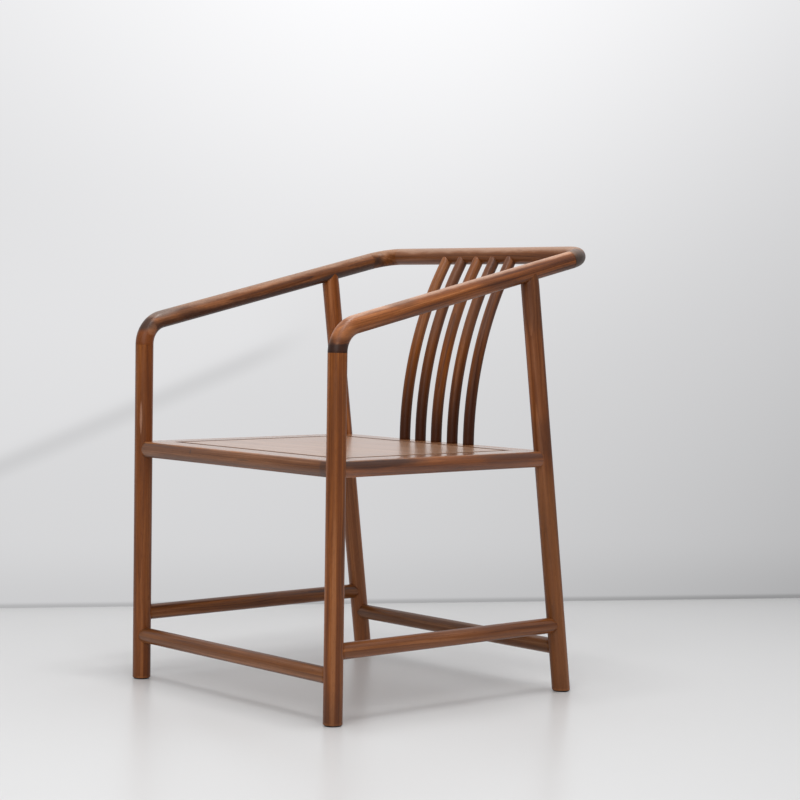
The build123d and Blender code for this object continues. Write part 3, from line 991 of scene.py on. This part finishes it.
class ArmchairSeatRails(bpy.types.Operator):
    """Shape the four seat rails, swollen outside and mitred at the legs"""

    bl_idname = "armchair.seat_rails"
    bl_label = "Seat rails"

    def execute(self, context):
        s = context.scene.armchair_sizes
        half = (SEAT_TOP - SEAT_LOW) / 2
        sweep = (half * half + s.rail_bulge * s.rail_bulge) / (2 * s.rail_bulge)
        reach = math.asin(half / sweep)
        centre = Vector((0, (FRONT_Y + SEAT_BACK_Y) / 2, (SEAT_TOP + SEAT_LOW) / 2))
        half_y = (SEAT_BACK_Y - FRONT_Y) / 2
        rails = (
            ("front", -Y, half_y, LEG_X), ("back", Y, half_y, LEG_X),
            ("left", -X, LEG_X, half_y), ("right", X, LEG_X, half_y),
        )
        for name, outward, away, half_long in rails:
            node = f"seat_rail_{name}"
            way = outward.cross(Z)
            base = centre + outward * away
            mesh = bmesh.new()
            edge = mesh.verts.layers.float.new("edge")
            seam = mesh.verts.layers.float.new("seam")
            pivot = base + outward * (s.leg_d / 2 - s.rail_reveal - sweep)
            low = mesh.verts.new(pivot + Matrix.Rotation(-reach, 3, way) @ (outward * sweep))
            top = spin(mesh, [low], pivot, way, 2 * reach, 12)[0][0]
            back = base - outward * s.rail_inner
            inner = [mesh.verts.new(back + Z * (half * up)) for up in (1, -1)]
            for pair in ((top, inner[0]), inner, (inner[1], low)):
                mesh.edges.new(pair)
            profile = bmesh.ops.edgeloop_fill(mesh, edges=mesh.edges[:])["faces"]
            bmesh.ops.translate(mesh, verts=mesh.verts, vec=way * -half_long)
            moved = rims(bmesh.ops.extrude_face_region(mesh, geom=profile)["geom"])[0]
            bmesh.ops.translate(mesh, verts=moved, vec=way * (2 * half_long))
            for side in (-1, 1):
                across = (way * side - outward).normalized()
                cut(mesh, base + way * (side * half_long) - across * MITRE_GAP, across, True)
                bmesh.ops.edgeloop_fill(mesh, edges=[e for e in mesh.edges if e.is_boundary])
            bmesh.ops.recalc_face_normals(mesh, faces=mesh.faces)
            cut(mesh, base - outward * (s.rail_inner - s.groove_ease - s.groove_matt), outward)
            lines = {"outer": [], "groove": [], "under": []}
            for e in mesh.edges:
                run = (e.verts[0].co - e.verts[1].co).normalized()
                if abs(run.dot(way)) < 0.999:
                    continue
                spot = e.verts[0].co - base
                deep, high = spot.dot(outward), spot.z
                if abs(abs(high) - half) < NEAR and deep > 0:
                    lines["outer"].append(e)
                elif abs(deep + s.rail_inner) < NEAR:
                    lines["groove" if high > 0 else "under"].append(e)
            for v in ease(mesh, lines["outer"], s.rail_round, 5):
                v[edge] = 0.8
            for v in ease(mesh, lines["groove"], s.groove_ease, 6):
                v[seam] = groove_seam(v)
            ease(mesh, lines["under"], s.under_ease, 2)
            grain = straight_grain(base, way, Z)
            wooden_piece(
                mesh, node, "shaped", "rail_wood", way, grain,
                gloss=1.0, sheen=0.19, relief=0.25, satin=0,
            )
        return {"FINISHED"}


class ArmchairSeatPanel(bpy.types.Operator):
    """Lay the seat panel in its rails, with its tongue, and finish the battens under it"""

    bl_idname = "armchair.seat_panel"
    bl_label = "Seat panel"

    def execute(self, context):
        s = context.scene.armchair_sizes
        wide = 2 * (LEG_X - s.rail_inner - s.groove)
        deep = (SEAT_BACK_Y - FRONT_Y) - 2 * (s.rail_inner + s.groove)
        mesh = bmesh.new()
        mesh.verts.layers.float.new("edge")
        seam = mesh.verts.layers.float.new("seam")
        place = Vector((*middle("seat_panel").xy, SEAT_TOP - s.panel_t / 2))
        size = Matrix.Diagonal((wide, deep, s.panel_t, 1))
        bmesh.ops.create_cube(mesh, size=1, matrix=Matrix.Translation(place) @ size)
        for level in (SEAT_TOP - s.tongue_drop, SEAT_TOP - s.tongue_drop - s.tongue_t):
            cut(mesh, (0, 0, level), Z)
        tongue_z = SEAT_TOP - s.tongue_drop - s.tongue_t / 2
        sides = [
            f for f in mesh.faces
            if abs(f.normal.z) < 0.1 and abs(f.calc_center_median().z - tongue_z) < NEAR
        ]
        moved = rims(bmesh.ops.extrude_face_region(mesh, geom=sides)["geom"])[0]
        bmesh.ops.delete(mesh, geom=sides, context="FACES_ONLY")
        low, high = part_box("seat_panel")
        share = ((high.x - low.x) / wide, (high.y - low.y) / deep, 1)
        bmesh.ops.scale(mesh, verts=moved, vec=share, space=Matrix.Translation(-place))
        for axis, half in ((X, wide / 2), (Y, deep / 2)):
            for side in (-1, 1):
                cut(mesh, place + axis * side * (half - s.groove_ease - s.groove_matt), axis)
        rim = [
            e for e in mesh.edges
            if all(abs(v.co.z - SEAT_TOP) < NEAR for v in e.verts)
            and any(abs(f.normal.z) < 0.5 for f in e.link_faces)
        ]
        for v in ease(mesh, rim, s.groove_ease, 6, clamp=False):
            v[seam] = groove_seam(v)
        wooden_piece(
            mesh, "seat_panel", "shaped", "seat_wood", X, straight_grain(place, X),
            gloss=1.0, sheen=0.24, relief=0.03, satin=0,
        )
        for node, plank in BARE_PLANKS.items():
            material = wood(f"{node}_wood", plank, Y, bare=True)
            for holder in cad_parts[node].material_slots:
                holder.material = material
        return {"FINISHED"}


class ArmchairStretchers(bpy.types.Operator):
    """Turn the stretchers and cope them onto the legs"""

    bl_idname = "armchair.stretchers"
    bl_label = "Stretchers"

    def execute(self, context):
        s = context.scene.armchair_sizes
        leg_r = s.leg_d / 2
        runs = {
            "stretcher_front": ((-1, -1), (1, -1), LOW_STRETCHER_Z),
            "stretcher_back": ((-1, 1), (1, 1), LOW_STRETCHER_Z),
            "stretcher_left": ((-1, -1), (-1, 1), HIGH_STRETCHER_Z),
            "stretcher_right": ((1, -1), (1, 1), HIGH_STRETCHER_Z),
        }
        for node, (first, second, height) in runs.items():
            start, stop = leg_point(*first, height), leg_point(*second, height)
            way = (stop - start).normalized()
            near, far = leg_line(*first), leg_line(*second)
            middle_point = (start + stop) / 2
            bar = Bar(middle_point, way, STRETCHER_R, s.facets)
            span = (stop - start).length / 2 - leg_r
            bar.step(span - STOP_SHORT, steps=12).cope(*far, leg_r, s.hairline)
            bar.turn_round(middle_point, STRETCHER_R)
            bar.step(span - STOP_SHORT, steps=12).cope(*near, leg_r, s.hairline).fill()
            grain = straight_grain(start, way)
            wooden_piece(bar.mesh, node, "turned", "frame_wood", way, grain)
        return {"FINISHED"}


class ArmchairStage(bpy.types.Operator):
    """Set up the floor, the wall behind, the lamps, the studio light and the camera"""

    bl_idname = "armchair.stage"
    bl_label = "Stage"

    def execute(self, context):
        scene, studio = context.scene, context.scene.armchair_studio
        scene.view_settings.view_transform = "Standard"

        level = Vector((math.sin(EYE_TURN), -math.cos(EYE_TURN), 0))
        back = level * math.cos(EYE_DIP) + Z * math.sin(EYE_DIP)
        right = Z.cross(back).normalized()
        up = back.cross(right)
        tilted = math.cos(EYE_ROLL) * right + math.sin(EYE_ROLL) * up
        upright = -math.sin(EYE_ROLL) * right + math.cos(EYE_ROLL) * up
        data = bpy.data.cameras.new("camera")
        data.lens, data.sensor_width, data.sensor_fit = studio.lens, 36, "HORIZONTAL"
        data.shift_x, data.shift_y = -HALF_PIXEL, HALF_PIXEL
        data.clip_end = 100
        camera = put("camera", data)
        camera.matrix_world = Matrix((tilted, upright, back)).transposed().to_4x4()
        camera.location = EYE
        scene.camera = camera

        floor = sheet("floor", Matrix(), floor_paint(studio.floor))
        wall_way = Vector((math.sin(studio.wall_turn), -math.cos(studio.wall_turn), 0))
        stand = Matrix.Translation(WALL_FOOT) @ turning(wall_way)
        wall = sheet("wall", stand, wall_glow(Z.cross(wall_way)))

        lamp("top_lamp", TOP_LAMP, Z, 0.45, studio.top_lamp * 0.7)
        lamp("corner_lamp", CORNER_LAMP_WAY * 2.6, CORNER_LAMP_WAY, 0.35, studio.top_lamp * 0.3)
        lamp("side_lamp", SIDE_LAMP_WAY * 3 + Z * 0.3, SIDE_LAMP_WAY, 2.0, studio.side_lamp)

        world = bpy.data.worlds.new("studio")
        world.use_nodes = True
        scene.world = world
        r = Recipe(world.node_tree)
        toward = r.node("ShaderNodeTexCoord").outputs["Generated"]
        lift = r.dot(toward, Z).rise(0.0, 1.0)
        light = lift * (studio.zenith - studio.horizon) + studio.horizon
        seen = Wire(r, r.node("ShaderNodeLightPath").outputs["Is Camera Ray"])
        shade = light * (1 - seen) + seen * 0.72
        sky = r.node("ShaderNodeBackground", None, {"Color": shade, "Strength": 1.0})
        r.node("ShaderNodeOutputWorld", None, {0: sky.outputs[0]})
        return {"FINISHED"}


class ArmchairPanel(bpy.types.Panel):
    """The armchair's steps, in order"""

    bl_idname = "ARMCHAIR_PT_steps"
    bl_label = "Armchair"
    bl_space_type = "VIEW_3D"
    bl_region_type = "UI"
    bl_category = "Armchair"

    def draw(self, context):
        layout = self.layout
        for step in STEPS:
            layout.operator(step.bl_idname)
        for group in GROUPS:
            box, settings = layout.box(), getattr(context.scene, group)
            for name in settings.bl_rna.properties.keys():
                if name not in ("rna_type", "name"):
                    box.prop(settings, name)


STEPS = (
    ArmchairLegs, ArmchairGlides, ArmchairArms, ArmchairCrestRail, ArmchairSlats,
    ArmchairSeatRails, ArmchairSeatPanel, ArmchairStretchers, ArmchairStage,
)
GROUPS = {
    "armchair_sizes": ArmchairSizes,
    "armchair_finish": ArmchairFinish,
    "armchair_studio": ArmchairStudio,
}


def register():
    for kind in (*GROUPS.values(), *STEPS, ArmchairPanel):
        bpy.utils.register_class(kind)
    for name, kind in GROUPS.items():
        setattr(bpy.types.Scene, name, PointerProperty(type=kind))


def unregister():
    for name in GROUPS:
        delattr(bpy.types.Scene, name)
    for kind in reversed((*GROUPS.values(), *STEPS, ArmchairPanel)):
        bpy.utils.unregister_class(kind)


def main():
    register()
    for step in STEPS:
        package, call = step.bl_idname.split(".")
        getattr(getattr(bpy.ops, package), call)()


if __name__ == "__main__":
    main()
